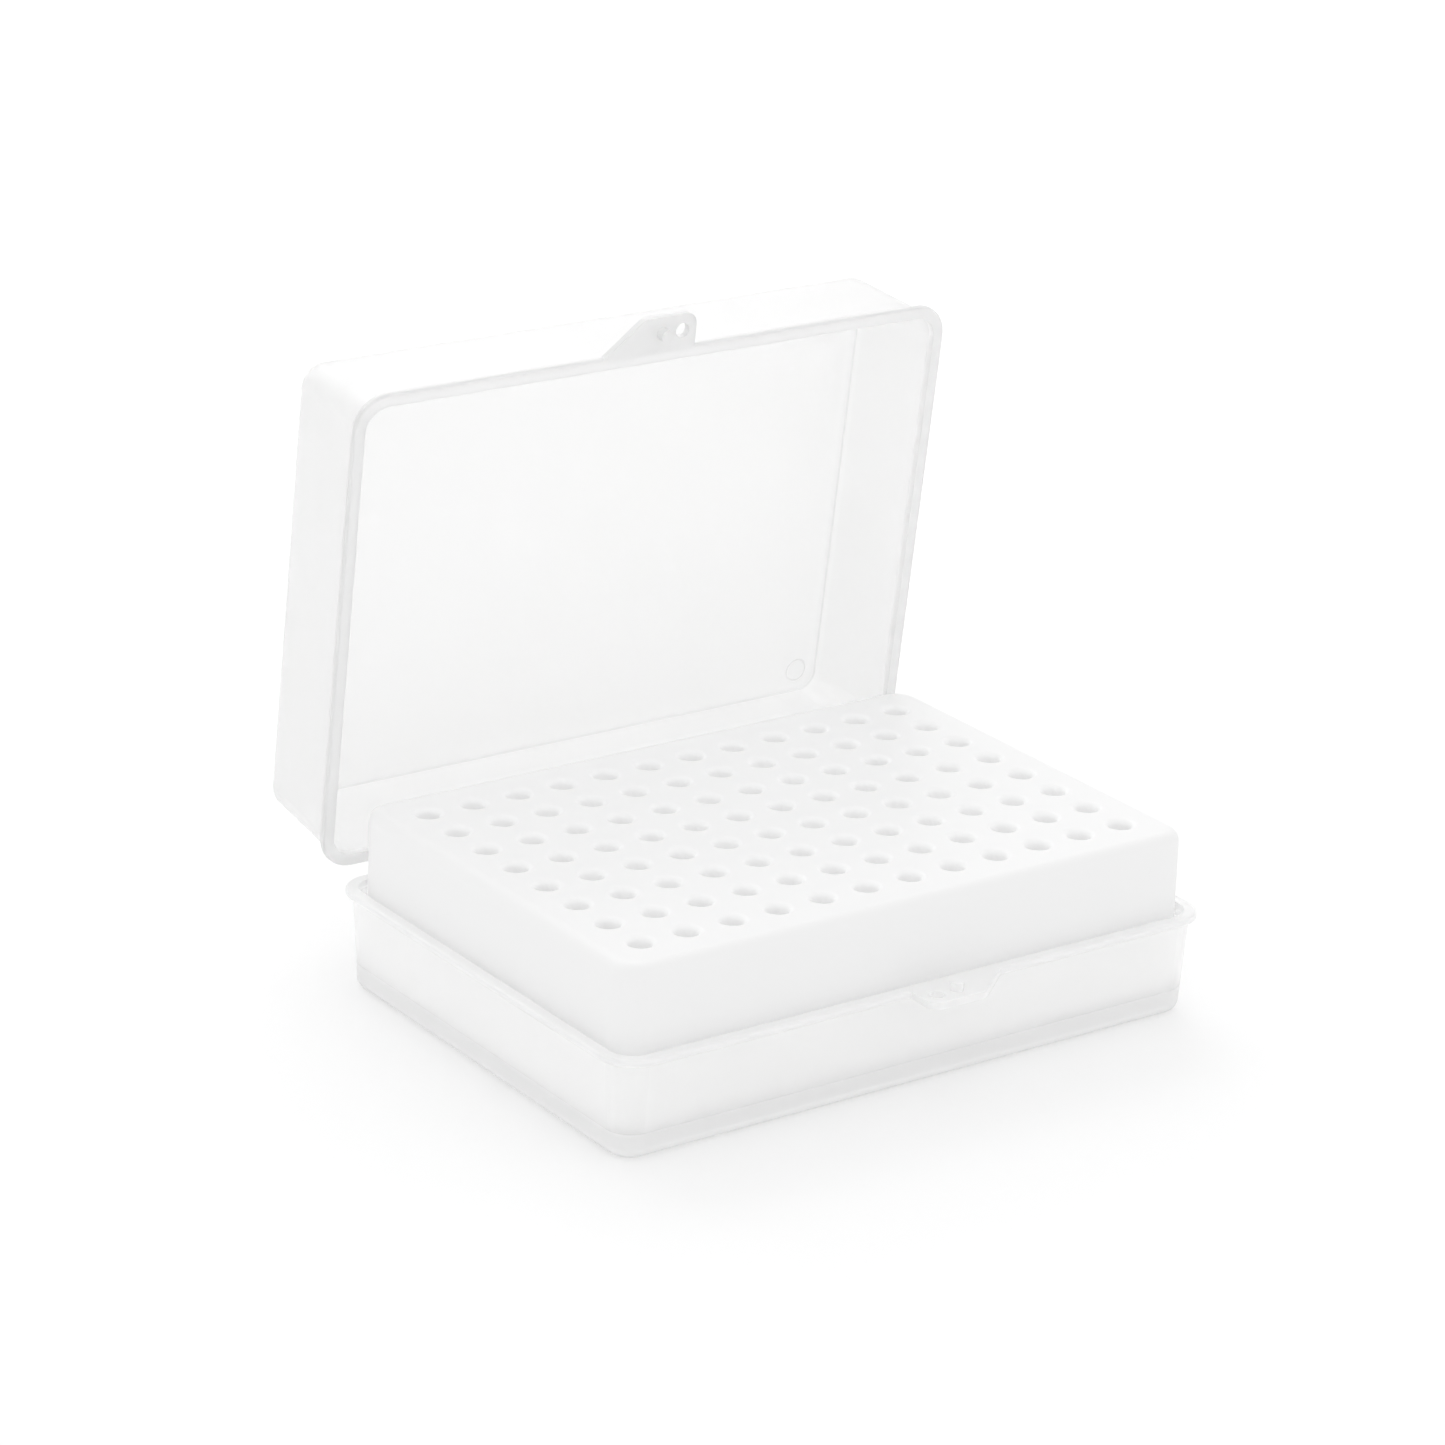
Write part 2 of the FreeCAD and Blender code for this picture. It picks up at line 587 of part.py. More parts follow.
for feature in doc.Objects:
    if "Invalid" in feature.State or "Error" in feature.State:
        raise RuntimeError(f"{feature.Label} failed: {feature.State}")
for piece in pieces:
    if piece.Shape.isNull() or not piece.Shape.isValid():
        raise RuntimeError(f"{piece.Label} has no valid shape")

os.makedirs("parts", exist_ok=True)
for piece in pieces:
    piece.Shape.exportStep(f"parts/{piece.Label}.step")
    box = piece.Shape.BoundBox
    print(
        f"{piece.Label}: {len(piece.Shape.Solids)} solid, volume {piece.Shape.Volume:.1f},"
        f" x {box.XMin:.2f}..{box.XMax:.2f}, y {box.YMin:.2f}..{box.YMax:.2f}, z {box.ZMin:.2f}..{box.ZMax:.2f}"
    )
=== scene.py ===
import json
import math

import bpy
import numpy as np
from mathutils import Matrix, Vector


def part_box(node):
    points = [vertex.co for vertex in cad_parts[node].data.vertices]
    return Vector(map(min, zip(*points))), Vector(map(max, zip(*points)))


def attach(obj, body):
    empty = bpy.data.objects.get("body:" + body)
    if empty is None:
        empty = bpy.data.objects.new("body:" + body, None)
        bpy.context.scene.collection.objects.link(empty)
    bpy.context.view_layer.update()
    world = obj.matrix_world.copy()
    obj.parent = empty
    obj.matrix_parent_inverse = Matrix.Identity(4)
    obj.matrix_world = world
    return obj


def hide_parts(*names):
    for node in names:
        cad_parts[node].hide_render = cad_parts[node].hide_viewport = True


bl_info = {
    "name": "Hinged rack box",
    "version": (1, 0, 0),
    "blender": (4, 5, 0),
    "location": "3D View > Sidebar > Rack Box",
    "description": "Builds a frosted hinged box with a white lift-out rack of round wells",
    "category": "Add Mesh",
}

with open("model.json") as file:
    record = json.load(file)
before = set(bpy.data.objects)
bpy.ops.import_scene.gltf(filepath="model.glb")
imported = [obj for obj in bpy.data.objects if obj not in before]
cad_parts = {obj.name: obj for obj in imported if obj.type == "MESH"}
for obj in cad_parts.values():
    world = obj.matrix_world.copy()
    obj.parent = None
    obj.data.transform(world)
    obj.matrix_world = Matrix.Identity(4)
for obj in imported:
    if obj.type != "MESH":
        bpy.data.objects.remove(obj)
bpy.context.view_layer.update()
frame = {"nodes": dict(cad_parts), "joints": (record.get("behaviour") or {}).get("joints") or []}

MM = 0.001
# Painted glow: the rack's emission mask, painted light on the wells' bores and on the skirt behind the tray.
PAINTED_GLOW_MASK = "painted_glow_mask"
RIM_HEIGHT = 18.4       # millimetres from the foot to the tray's rim
LID_SPAN = 22.0         # millimetres above the tray's rim that take in the closed lid
HINGE = next(joint for joint in frame["joints"] if joint["name"] == "lid_hinge")
CLOSING_TURN = math.radians(HINGE["range_deg"][1])
RACK_LOW, RACK_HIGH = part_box("rack_skirt")[0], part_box("rack_deck")[1]


# ---------------------------------------------------------------- sizes and colours

class RackBoxCamera(bpy.types.PropertyGroup):
    """Where the camera stands and how it is turned."""
    place: bpy.props.FloatVectorProperty(
        name="Place", description="Camera position", size=3, subtype="TRANSLATION", unit="LENGTH",
        precision=4, default=(-0.4643, -0.6183, 0.3436))
    turn: bpy.props.FloatProperty(
        name="Turn", description="Heading, from the Y axis towards -X", subtype="ANGLE",
        default=math.radians(-36.19))
    drop: bpy.props.FloatProperty(
        name="Drop", description="How far the camera looks down", subtype="ANGLE",
        default=math.radians(20.80))
    roll: bpy.props.FloatProperty(
        name="Roll", description="Tilt of the camera about its own axis", subtype="ANGLE",
        default=math.radians(2.27))
    lens: bpy.props.FloatProperty(
        name="Lens", description="Focal length on a 36 mm sensor", min=10.0, max=400.0, default=122.6)


def millimetres(name, description, default):
    """A size in millimetres, which the shapes turn to metres when their mesh is made."""
    return bpy.props.FloatProperty(name=name, description=description, default=default, min=0.0)


class RackBoxRack(bpy.types.PropertyGroup):
    """Sizes of the rack, in millimetres."""
    length: millimetres("Length", "Outside length of the top", 115.6)
    depth: millimetres("Depth", "Outside depth of the top", 80.4)
    height: millimetres("Height", "Height of the rack", (RACK_HIGH[2] - RACK_LOW[2]) / MM)
    corner: millimetres("Corner", "Outside corner radius", 4.4)
    edge_round: millimetres("Edge rounding", "Rounding of the top edge", 2.0)
    draft: bpy.props.FloatProperty(
        name="Draft", description="Lean of the walls", subtype="ANGLE", default=math.radians(0.5))
    wall: millimetres("Wall", "Thickness of the skirt", 1.5)
    plate: millimetres("Deck", "Thickness of the deck", 1.8)
    pitch: millimetres("Pitch", "Distance between neighbouring wells", 9.0)
    bore: millimetres("Well radius", "Radius of a well", 2.0)
    lip: millimetres("Lip", "Rounding of a well's mouth", 1.0)
    sleeve: millimetres("Sleeve", "Depth of a well's sleeve", 4.0)
    sleeve_wall: millimetres("Sleeve wall", "Thickness of a well's sleeve", 0.8)
    columns: bpy.props.IntProperty(name="Columns", description="Wells along the length", default=12, min=1)
    rows: bpy.props.IntProperty(name="Rows", description="Wells along the depth", default=8, min=1)
    side_steps: bpy.props.IntProperty(
        name="Steps", description="Steps along one side of a well's cell", default=8, min=2)


class RackBoxLid(bpy.types.PropertyGroup):
    """Places on the closed lid, in millimetres."""
    inside: millimetres("Inside", "Height of the top's inner face", 39.15)
    mark_x: bpy.props.FloatProperty(
        name="Mark across", description="Ejector mark along the length", default=53.5)
    mark_y: bpy.props.FloatProperty(
        name="Mark along", description="Ejector mark along the depth", default=36.5)
    mark_radius: millimetres("Mark radius", "Radius of the ejector mark", 2.1)
    mark_bead: millimetres("Mark bead", "Half the width of the mark's bead", 0.22)
    mark_rise: millimetres("Mark rise", "Height of the mark's bead", 0.06)


class RackBoxColours(bpy.types.PropertyGroup):
    """Base colours of the two plastics."""
    frosted: bpy.props.FloatVectorProperty(
        name="Frosted", description="Natural polypropylene of the tray and the lid", size=3,
        subtype="COLOR", min=0.0, max=1.0, default=(0.985, 0.985, 0.985))
    # Painted shade: the lid's colour is the frosted plastic made darker to suit its lighting, a shaded copy
    # of one material.
    lid: bpy.props.FloatVectorProperty(
        name="Lid", description="The same plastic where light comes from both sides", size=3,
        subtype="COLOR", min=0.0, max=1.0, default=(0.945, 0.945, 0.945))
    white: bpy.props.FloatVectorProperty(
        name="White", description="Opaque plastic of the rack", size=3,
        subtype="COLOR", min=0.0, max=1.0, default=(0.87, 0.87, 0.87))
    floor: bpy.props.FloatVectorProperty(
        name="Floor", description="Studio floor", size=3,
        subtype="COLOR", min=0.0, max=1.0, default=(0.72, 0.72, 0.72))


# ---------------------------------------------------------------- shapes

def turned(points, quarters):
    """Turn flat points about the origin by whole quarters, anticlockwise."""
    across, along = ((1, 0), (0, 1), (-1, 0), (0, -1))[quarters]
    return points @ np.array(((across, along), (-along, across)))


def rounded_outline(length, depth, corner, steps):
    """Points and outward normals of a rounded rectangle, anticlockwise from the middle of its first corner.

    Each side is walked evenly: half a corner arc, the straight run, half the next arc. The arc's angle is
    the distance walked over the radius, and stands still along the straight run.
    """
    points, normals = [], []
    halves = (length / 2 - corner, depth / 2 - corner)
    for quarter in range(4):
        run, reach = halves[quarter % 2], halves[1 - quarter % 2]
        arc = corner * math.pi / 4
        walked = np.linspace(0.0, 2 * (arc + run), steps[quarter % 2], endpoint=False)
        angle = (np.minimum(walked, arc) + np.maximum(walked - arc - 2 * run, 0.0)) / corner - 0.75 * math.pi
        normal = np.column_stack((np.cos(angle), np.sin(angle)))
        centre = np.column_stack((np.clip(walked - arc, 0.0, 2 * run) - run, np.full_like(walked, -reach)))
        points.append(turned(centre + corner * normal, quarter))
        normals.append(turned(normal, quarter))
    return np.concatenate(points), np.concatenate(normals)


def square_outline(length, depth, steps):
    """Points of a plain rectangle, walked evenly side by side in the order of rounded_outline."""
    sides = []
    halves = (length / 2, depth / 2)
    for quarter in range(4):
        run, reach = halves[quarter % 2], halves[1 - quarter % 2]
        across = np.linspace(-run, run, steps[quarter % 2], endpoint=False)
        sides.append(turned(np.column_stack((across, np.full_like(across, -reach))), quarter))
    return np.concatenate(sides)


def at_height(points, height):
    """Flat points lifted to one height."""
    return np.column_stack((points, np.full(len(points), height)))


def round_over(out, top, radius, steps):
    """Quarter circle from (out - radius, top) to (out, top - radius), as rows of outset and height."""
    angle = np.linspace(0.0, math.pi / 2, steps + 1)
    return np.column_stack((out - radius + radius * np.sin(angle), top - radius + radius * np.cos(angle)))


def band_faces(rings, columns, outward=True, looped=False):
    """Quads between rings of equally many points, each ring closed on itself.

    If looped, the last ring is joined to the first.
    """
    ring, column = np.meshgrid(np.arange(rings if looped else rings - 1), np.arange(columns), indexing="ij")
    beyond, following = (ring + 1) % rings, (column + 1) % columns
    corners = [ring * columns + following, ring * columns + column,
               beyond * columns + column, beyond * columns + following]
    faces = np.stack(corners, axis=-1).reshape(-1, 4)
    return faces if outward else faces[:, ::-1]


def weld(points, faces):
    """Merge points that share a place to within a thousandth of a millimetre."""
    per_millimetre = 1000
    keys = np.round(points * per_millimetre).astype(np.int64)
    _, first, merged = np.unique(keys, axis=0, return_index=True, return_inverse=True)
    return points[first], merged.reshape(-1)[faces]


def new_piece(name, points, faces, material, body):
    """Make a mesh object from millimetre points, smooth except across real edges."""
    sharp_edge = math.radians(40)
    points, faces = weld(points, faces)
    mesh = bpy.data.meshes.new(name)
    mesh.from_pydata((points * MM).tolist(), [], faces.tolist())
    mesh.shade_smooth()
    mesh.set_sharp_from_angle(angle=sharp_edge)
    mesh.validate()
    piece = bpy.data.objects.new(name, mesh)
    bpy.context.scene.collection.objects.link(piece)
    mesh.materials.append(material)
    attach(piece, body)
    return piece


def rack_rings(rack, top):
    """Rings from the well grid's edge over the deck, down the outside, up the inside and back under the deck.

    Every ring is the rack's outline moved out by a distance, at a height. The wall leans out by its draft.
    """
    steps = (rack.side_steps * rack.columns, rack.side_steps * rack.rows)
    outline, normals = rounded_outline(rack.length, rack.depth, rack.corner, steps)
    grid = square_outline(rack.pitch * rack.columns, rack.pitch * rack.rows, steps)
    foot = top - rack.height
    lean = math.tan(rack.draft)
    under = top - rack.plate
    level_border = 0.4
    inner_round = 0.6
    round_steps = 6
    # The three middle rows sit about the tray's rim, where the painted glow on the skirt changes.
    wall_drops = (rack.edge_round + 0.5, 8.0, 12.4, 14.4, 16.4, 24.0, rack.height - 0.7)
    nick, foot_round = 0.05, 0.3
    foot_out = lean * rack.height
    foot_in = foot_out - rack.wall
    profile = [(-rack.edge_round - level_border, top)]
    profile += round_over(0.0, top, rack.edge_round, round_steps).tolist()
    profile += [(lean * drop, top - drop) for drop in wall_drops]
    profile += [(foot_out - nick, foot + foot_round - nick), (foot_out - foot_round, foot)]
    profile += [(foot_in, foot), (foot_in, foot + 0.5)]
    profile += [(-rack.wall, under - inner_round), (-rack.wall - inner_round, under)]
    rings = [at_height(grid, top)]
    rings += [at_height(outline + out * normals, height) for out, height in profile]
    rings += [at_height(grid, under)]
    return np.concatenate(rings), band_faces(len(rings), len(grid))


def well_cells(rack, top):
    """One square cell of deck with a lipped well and its short sleeve, repeated over the grid.

    The cell's square edge runs to a circle, the circle rolls over a quarter-round lip into the well, the well
    goes down the sleeve, and the way back is the sleeve's outside and the deck's underside.
    """
    steps = (rack.side_steps, rack.side_steps)
    square = square_outline(rack.pitch, rack.pitch, steps)
    angle = np.linspace(0.0, 2 * math.pi, len(square), endpoint=False) - 0.75 * math.pi
    circle = np.column_stack((np.cos(angle), np.sin(angle)))
    lip_steps = 5
    level_border = 0.2
    lip = round_over(0.0, top, rack.lip, lip_steps)
    under = top - rack.plate
    end = top - rack.sleeve
    rings = [at_height(square, top), at_height(circle * (rack.bore + rack.lip + level_border), top)]
    rings += [at_height(circle * (rack.bore - out), height) for out, height in lip]
    rings += [at_height(circle * rack.bore, end), at_height(circle * (rack.bore + rack.sleeve_wall), end)]
    rings += [at_height(circle * (rack.bore + rack.sleeve_wall), under), at_height(square, under)]
    cell = np.concatenate(rings)
    faces = band_faces(len(rings), len(square), outward=False)
    across = (np.arange(rack.columns) - (rack.columns - 1) / 2) * rack.pitch
    along = (np.arange(rack.rows) - (rack.rows - 1) / 2) * rack.pitch
    centres = np.array([(x, y, 0.0) for y in along for x in across])
    points = (cell[None] + centres[:, None]).reshape(-1, 3)
    cells = np.arange(len(centres))[:, None, None] * len(cell)
    return points, (faces[None] + cells).reshape(-1, 4)


def lid_mark(lid, material):
    """The ring that an ejector pin leaves on the inside of the lid's top: a low half-round bead on a circle.

    It is worked out on the closed lid, where the top's inner face is level, and turned open about the hinge.
    """
    steps_around, steps_across = 48, 12
    around = np.linspace(0.0, 2 * math.pi, steps_around, endpoint=False)
    across = np.linspace(0.0, 2 * math.pi, steps_across, endpoint=False)
    out = lid.mark_radius + lid.mark_bead * np.cos(across)[:, None]
    level = lid.inside - lid.mark_rise * np.sin(across)[:, None] + 0 * around
    ring = np.stack((out * np.cos(around) + lid.mark_x, out * np.sin(around) + lid.mark_y, level), axis=-1)
    hinge = np.array(HINGE["pos_m"]) / MM
    opening = np.array(Matrix.Rotation(-CLOSING_TURN, 3, "X"))
    points = (ring.reshape(-1, 3) - hinge) @ opening.T + hinge
    faces = band_faces(len(across), len(around), looped=True)
    return new_piece("lid_pin_mark", points, faces, material, "lid")


def mark_painted_glow(mesh, rack):
    """Store where the rack gets a painted glow, painted light in place of light let in through the plastic: 1
    on a well's bore, fading over its lip, and part of that on the skirt behind the tray's wall."""
    painted_glow_behind_tray = 0.45
    fade = 4.0
    points = np.empty(3 * len(mesh.vertices))
    mesh.vertices.foreach_get("co", points)
    points = points.reshape(-1, 3) / MM
    flat = points[:, :2]
    counts = np.array((rack.columns, rack.rows))
    on_grid = (np.abs(flat) < counts * rack.pitch / 2).all(axis=1)
    from_centre = ((flat / rack.pitch + counts / 2) % 1.0 - 0.5) * rack.pitch
    distance = np.hypot(from_centre[:, 0], from_centre[:, 1])
    inside = np.clip((rack.bore + rack.lip - distance) / rack.lip, 0.0, 1.0) * on_grid
    # Painted glow on the skirt below the tray's rim, in place of light let through the tray's wall.
    below_rim = painted_glow_behind_tray * np.clip((RIM_HEIGHT + fade / 2 - points[:, 2]) / fade, 0.0, 1.0)
    mask = mesh.attributes.new(PAINTED_GLOW_MASK, "FLOAT", "POINT")
    mask.data.foreach_set("value", np.maximum(inside, below_rim).astype(np.float32))


# ---------------------------------------------------------------- materials

def new_material(name):
    """A material with its nodes, its links and its Principled shader."""
    material = bpy.data.materials.new(name)
    material.use_nodes = True
    nodes = material.node_tree.nodes
    return material, nodes, material.node_tree.links, nodes["Principled BSDF"]


def mould_texture_group():
    """Fine mould texture: a spark-eroded grain and a slow flow mottle, put out as masks and a normal."""
    name = "Mould texture"
    if name in bpy.data.node_groups:
        return bpy.data.node_groups[name]
    group = bpy.data.node_groups.new(name, "ShaderNodeTree")
    face = group.interface
    for label, value in (("Grain scale", 2600.0), ("Flow scale", 55.0), ("Grain depth", 0.10)):
        socket = face.new_socket(label, in_out="INPUT", socket_type="NodeSocketFloat")
        socket.default_value = value
    face.new_socket("Grain", in_out="OUTPUT", socket_type="NodeSocketFloat")
    face.new_socket("Flow", in_out="OUTPUT", socket_type="NodeSocketFloat")
    face.new_socket("Normal", in_out="OUTPUT", socket_type="NodeSocketVector")
    nodes, links = group.nodes, group.links
    start = nodes.new("NodeGroupInput")
    end = nodes.new("NodeGroupOutput")
    where = nodes.new("ShaderNodeTexCoord")
    grain = nodes.new("ShaderNodeTexNoise")
    grain.inputs["Detail"].default_value = 2.0
    flow = nodes.new("ShaderNodeTexNoise")
    flow.inputs["Detail"].default_value = 3.0
    flow.inputs["Distortion"].default_value = 0.6
    bump = nodes.new("ShaderNodeBump")
    bump.inputs["Distance"].default_value = 0.00008
    links.new(where.outputs["Object"], grain.inputs["Vector"])
    links.new(where.outputs["Object"], flow.inputs["Vector"])
    links.new(start.outputs["Grain scale"], grain.inputs["Scale"])
    links.new(start.outputs["Flow scale"], flow.inputs["Scale"])
    links.new(start.outputs["Grain depth"], bump.inputs["Strength"])
    links.new(grain.outputs["Fac"], bump.inputs["Height"])
    links.new(grain.outputs["Fac"], end.inputs["Grain"])
    links.new(flow.outputs["Fac"], end.inputs["Flow"])
    links.new(bump.outputs["Normal"], end.inputs["Normal"])
    return group


def add_mould_texture(nodes, grain_scale, flow_scale, depth):
    """Place the mould texture in a material, with its own scales and depth."""
    texture = nodes.new("ShaderNodeGroup")
    texture.node_tree = mould_texture_group()
    texture.inputs["Grain scale"].default_value = grain_scale
    texture.inputs["Flow scale"].default_value = flow_scale
    texture.inputs["Grain depth"].default_value = depth
    return texture


def map_value(nodes, links, value, low, high, to_low, to_high):
    """Carry a value from the range low to high over to the range to_low to to_high."""
    scale = nodes.new("ShaderNodeMapRange")
    scale.inputs["From Min"].default_value = low
    scale.inputs["From Max"].default_value = high
    scale.inputs["To Min"].default_value = to_low
    scale.inputs["To Max"].default_value = to_high
    links.new(value, scale.inputs["Value"])
    return scale.outputs["Result"]


def height_in_mould(nodes, links, turn):
    """Height above the foot, in metres, on a piece that is turned back about the hinge by an angle."""
    where = nodes.new("ShaderNodeTexCoord")
    closed = nodes.new("ShaderNodeMapping")
    hinge = Vector(HINGE["pos_m"])
    closed.inputs["Rotation"].default_value = (turn, 0.0, 0.0)
    closed.inputs["Location"].default_value = hinge - Matrix.Rotation(turn, 3, "X") @ hinge
    axes = nodes.new("ShaderNodeSeparateXYZ")
    links.new(where.outputs["Object"], closed.inputs["Vector"])
    links.new(closed.outputs["Vector"], axes.inputs["Vector"])
    return axes.outputs["Z"]


def thick_and_shaded_places(nodes, links, height, span, shade_bands):
    """A mask of heights, in millimetres, for bands of painted shade that partly stand in for thick plastic.

    Each band is its bottom, its top and how strongly it shows, from 0 to 1.
    """
    soft = 0.12
    low, high = span
    along = map_value(nodes, links, height, low * MM, high * MM, 0.0, 1.0)
    ramp = nodes.new("ShaderNodeValToRGB")
    stops = ramp.color_ramp.elements
    stops[0].color = stops[1].color = (0.0, 0.0, 0.0, 1.0)
    for bottom, top, strength in shade_bands:
        full = (strength, strength, strength, 1.0)
        for level, painted_shade in ((bottom - soft, 0.0), (bottom, strength), (top, strength), (top + soft, 0.0)):
            if low < level < high:
                stops.new((level - low) / (high - low)).color = (painted_shade, painted_shade, painted_shade, 1.0)
        if bottom <= low:
            stops[0].color = full
        if top >= high:
            stops[len(stops) - 1].color = full
    links.new(along, ramp.inputs["Fac"])
    return ramp.outputs["Color"]


def blend_by(nodes, links, mask, kind, plain, masked):
    """Mix two numbers or colours by a mask; the plain one may be another node's output."""
    mix = nodes.new("ShaderNodeMix")
    mix.data_type = kind
    if isinstance(plain, bpy.types.NodeSocket):
        links.new(plain, mix.inputs["A"])
    else:
        mix.inputs["A"].default_value = plain
    mix.inputs["B"].default_value = masked
    links.new(mask, mix.inputs["Factor"])
    return mix.outputs["Result"]


def frosted_plastic(name, colour, transmission, cover, painted_glow, turn, span, shade_bands, painted_shade):
    """Natural polypropylene: milky and satin, denser seen edge on, and greyer in bands of painted shade.

    The bands are painted by height on the closed box: painted shade, partly standing in for real thickness,
    at the tray's foot where the contact shadow falls, along the rims and at the lid's rounded top edge. The
    painted glow is an even emission, painted light that lifts the plastic's tone.
    """
    edge_cover = 0.95
    thick_cover = 0.92
    material, nodes, links, shader = new_material(name)
    texture = add_mould_texture(nodes, grain_scale=2600.0, flow_scale=55.0, depth=0.10)
    rough = map_value(nodes, links, texture.outputs["Flow"], 0.3, 0.7, 0.42, 0.52)
    links.new(rough, shader.inputs["Roughness"])
    links.new(texture.outputs["Normal"], shader.inputs["Normal"])
    shader.inputs["IOR"].default_value = 1.49
    shader.inputs["Transmission Weight"].default_value = transmission
    # Painted glow: an even emission over the whole piece, painted light that lifts its tone.
    shader.inputs["Emission Color"].default_value = (1.0, 1.0, 1.0, 1.0)
    shader.inputs["Emission Strength"].default_value = painted_glow
    facing = nodes.new("ShaderNodeLayerWeight")
    facing.inputs["Blend"].default_value = 0.3
    dense = map_value(nodes, links, facing.outputs["Facing"], 0.0, 1.0, cover, edge_cover)
    thick_and_shaded = thick_and_shaded_places(nodes, links, height_in_mould(nodes, links, turn), span, shade_bands)
    links.new(blend_by(nodes, links, thick_and_shaded, "FLOAT", dense, thick_cover), shader.inputs["Alpha"])
    # Painted shade: the base colour is darkened in the bands.
    painted_shade_colour = (*(painted_shade * channel for channel in colour), 1.0)
    links.new(blend_by(nodes, links, thick_and_shaded, "RGBA", (*colour, 1.0), painted_shade_colour), shader.inputs["Base Color"])
    return material


def opaque_plastic(name, colour):
    """White polypropylene with a satin surface, given a painted glow where light would come in through it."""
    material, nodes, links, shader = new_material(name)
    texture = add_mould_texture(nodes, grain_scale=2200.0, flow_scale=40.0, depth=0.08)
    rough = map_value(nodes, links, texture.outputs["Flow"], 0.3, 0.7, 0.38, 0.48)
    links.new(rough, shader.inputs["Roughness"])
    links.new(texture.outputs["Normal"], shader.inputs["Normal"])
    shader.inputs["Base Color"].default_value = (*colour, 1.0)
    shader.inputs["IOR"].default_value = 1.49
    inside = nodes.new("ShaderNodeAttribute")
    inside.attribute_name = PAINTED_GLOW_MASK
    # Painted glow: emission by the mask, painted light on the bores and on the skirt behind the tray.
    full_painted_glow = 0.085
    painted_glow = map_value(nodes, links, inside.outputs["Fac"], 0.0, 1.0, 0.0, full_painted_glow)
    links.new(painted_glow, shader.inputs["Emission Color"])
    shader.inputs["Emission Strength"].default_value = 1.0
    return material


def floor_paper(colour, lit):
    """Backlit pale floor: part of its light comes through it, so that shadows stay soft."""
    material, nodes, links, shader = new_material("floor_paper")
    shader.inputs["Base Color"].default_value = (*colour, 1.0)
    shader.inputs["Emission Color"].default_value = (1.0, 1.0, 1.0, 1.0)
    shader.inputs["Emission Strength"].default_value = lit
    shader.inputs["Roughness"].default_value = 0.9
    shader.inputs["Specular IOR Level"].default_value = 0.0
    return material


def wear(piece, material):
    """Give a piece one material in place of its own."""
    piece.data.materials.clear()
    piece.data.materials.append(material)


# ---------------------------------------------------------------- operators

class RACKBOX_OT_tray(bpy.types.Operator):
    """Finish the base tray."""
    bl_idname = "rackbox.tray"
    bl_label = "Base tray"

    def execute(self, context):
        colours = context.scene.rackbox_colours
        # Painted shade: the foot band darkens the tray's bottom where the contact shadow falls, and the rim
        # band its rim, both partly standing in for thick plastic.
        foot = (0.0, 4.6, 1.0)
        rim_shade_band = (RIM_HEIGHT - 1.2, RIM_HEIGHT, 0.55)
        # An even painted glow lifts the tray's tone.
        plastic = frosted_plastic(
            "tray_plastic", colours.frosted, transmission=0.3, cover=0.45, painted_glow=0.03, turn=0.0,
            span=(0.0, RIM_HEIGHT), shade_bands=(foot, rim_shade_band), painted_shade=0.90)
        wear(frame["nodes"]["base_tray"], plastic)
        return {"FINISHED"}


class RACKBOX_OT_lid(bpy.types.Operator):
    """Finish the lid."""
    bl_idname = "rackbox.lid"
    bl_label = "Lid"

    def execute(self, context):
        colours = context.scene.rackbox_colours
        # Painted shade: the rim band and the top rounding band darken the lid's rim and its rounded top edge,
        # partly standing in for thick plastic.
        rim_shade_band = (RIM_HEIGHT, RIM_HEIGHT + 1.35, 0.62)
        top_rounding_shade_band = (39.45, 40.1, 0.65)
        plastic = frosted_plastic(
            "lid_plastic", colours.lid, transmission=0.4, cover=0.42, painted_glow=0.0, turn=CLOSING_TURN,
            span=(RIM_HEIGHT, RIM_HEIGHT + LID_SPAN), shade_bands=(rim_shade_band, top_rounding_shade_band), painted_shade=0.88)
        wear(frame["nodes"]["lid"], plastic)
        lid_mark(context.scene.rackbox_lid, plastic)
        return {"FINISHED"}


class RACKBOX_OT_rack(bpy.types.Operator):
    """Finish the rack."""
    bl_idname = "rackbox.rack"
    bl_label = "Rack"

    def execute(self, context):
        colours = context.scene.rackbox_colours
        rack = context.scene.rackbox_rack
        top = RACK_HIGH[2] / MM
        border, border_faces = rack_rings(rack, top)
        wells, well_faces = well_cells(rack, top)
        piece = new_piece(
            "rack_moulding",
            np.concatenate((border, wells)),
            np.concatenate((border_faces, well_faces + len(border))),
            opaque_plastic("rack_plastic", colours.white),
            "rack",
        )
        mark_painted_glow(piece.data, rack)
        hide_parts("rack_deck", "rack_skirt")
        return {"FINISHED"}


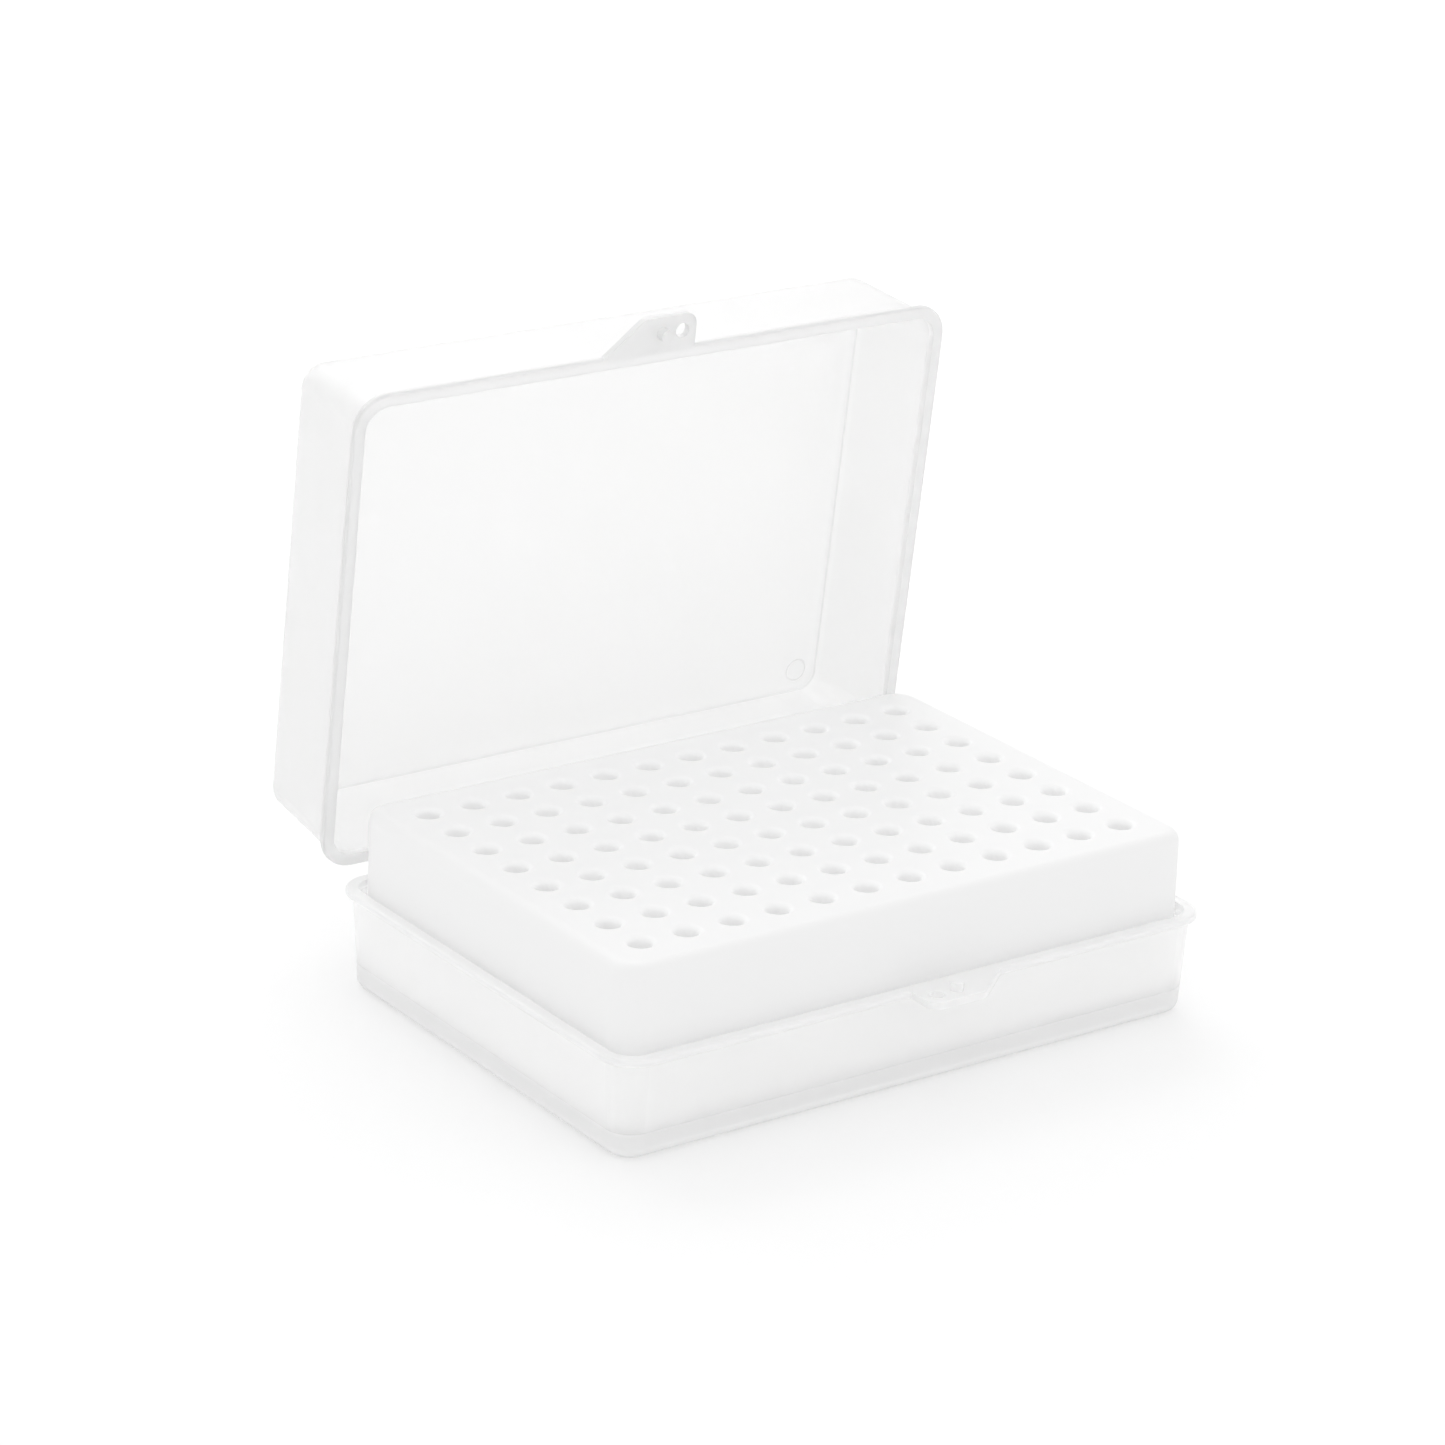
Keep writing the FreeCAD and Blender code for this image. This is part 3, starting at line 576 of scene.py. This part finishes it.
class RACKBOX_OT_stage(bpy.types.Operator):
    """Build the floor, the light and the camera."""
    bl_idname = "rackbox.stage"
    bl_label = "Stage"

    def execute(self, context):
        scene = context.scene
        size = 3.0
        mesh = bpy.data.meshes.new("floor")
        corners = [(-size, -size, 0), (size, -size, 0), (size, size, 0), (-size, size, 0)]
        mesh.from_pydata(corners, [], [(0, 1, 2, 3)])
        floor = bpy.data.objects.new("floor", mesh)
        scene.collection.objects.link(floor)
        wear(floor, floor_paper(scene.rackbox_colours.floor, lit=0.24))

        world = bpy.data.worlds.new("studio")
        world.use_nodes = True
        background = world.node_tree.nodes["Background"]
        background.inputs["Color"].default_value = (1.0, 1.0, 1.0, 1.0)
        background.inputs["Strength"].default_value = 1.0
        scene.world = world
        scene.view_settings.view_transform = "Standard"
        scene.cycles.max_bounces = 24
        scene.cycles.diffuse_bounces = 14
        scene.cycles.glossy_bounces = 8
        scene.cycles.transmission_bounces = 24

        data = bpy.data.lights.new("top_light", "AREA")
        data.shape = "RECTANGLE"
        data.size = 0.9
        data.size_y = 0.7
        data.energy = 2.6
        lamp = bpy.data.objects.new("top_light", data)
        lamp.location = (0.2, 0.8, 0.8)
        lamp.rotation_euler = (Vector((0, 0, 0.03)) - lamp.location).to_track_quat("-Z", "Y").to_euler()
        scene.collection.objects.link(lamp)

        view = scene.rackbox_camera
        back = Vector((
            math.sin(view.turn) * math.cos(view.drop),
            -math.cos(view.turn) * math.cos(view.drop),
            math.sin(view.drop)))
        right = Vector((math.cos(view.turn), math.sin(view.turn), 0.0))
        up = back.cross(right)
        tilted_right = math.cos(view.roll) * right + math.sin(view.roll) * up
        tilted_up = math.cos(view.roll) * up - math.sin(view.roll) * right
        data = bpy.data.cameras.new("camera")
        data.sensor_width = 36.0
        data.lens = view.lens
        data.clip_end = 20.0
        camera = bpy.data.objects.new("camera", data)
        turn = Matrix((tilted_right, tilted_up, back)).transposed()
        camera.matrix_world = Matrix.Translation(view.place) @ turn.to_4x4()
        scene.collection.objects.link(camera)
        scene.camera = camera
        return {"FINISHED"}


class RACKBOX_PT_panel(bpy.types.Panel):
    """Lists the box's pieces."""
    bl_idname = "RACKBOX_PT_panel"
    bl_label = "Rack Box"
    bl_space_type = "VIEW_3D"
    bl_region_type = "UI"
    bl_category = "Rack Box"

    def draw(self, context):
        for operator in OPERATORS:
            self.layout.operator(operator.bl_idname)
        for name in ("frosted", "lid", "white", "floor"):
            self.layout.prop(context.scene.rackbox_colours, name)


OPERATORS = (RACKBOX_OT_tray, RACKBOX_OT_rack, RACKBOX_OT_lid, RACKBOX_OT_stage)
CLASSES = (RackBoxCamera, RackBoxRack, RackBoxLid, RackBoxColours, *OPERATORS, RACKBOX_PT_panel)


def register():
    for item in CLASSES:
        bpy.utils.register_class(item)
    bpy.types.Scene.rackbox_camera = bpy.props.PointerProperty(type=RackBoxCamera)
    bpy.types.Scene.rackbox_rack = bpy.props.PointerProperty(type=RackBoxRack)
    bpy.types.Scene.rackbox_lid = bpy.props.PointerProperty(type=RackBoxLid)
    bpy.types.Scene.rackbox_colours = bpy.props.PointerProperty(type=RackBoxColours)


def unregister():
    del bpy.types.Scene.rackbox_camera
    del bpy.types.Scene.rackbox_rack
    del bpy.types.Scene.rackbox_lid
    del bpy.types.Scene.rackbox_colours
    for item in reversed(CLASSES):
        bpy.utils.unregister_class(item)


def main():
    register()
    bpy.ops.rackbox.tray()
    bpy.ops.rackbox.rack()
    bpy.ops.rackbox.lid()
    bpy.ops.rackbox.stage()


if __name__ == "__main__":
    main()
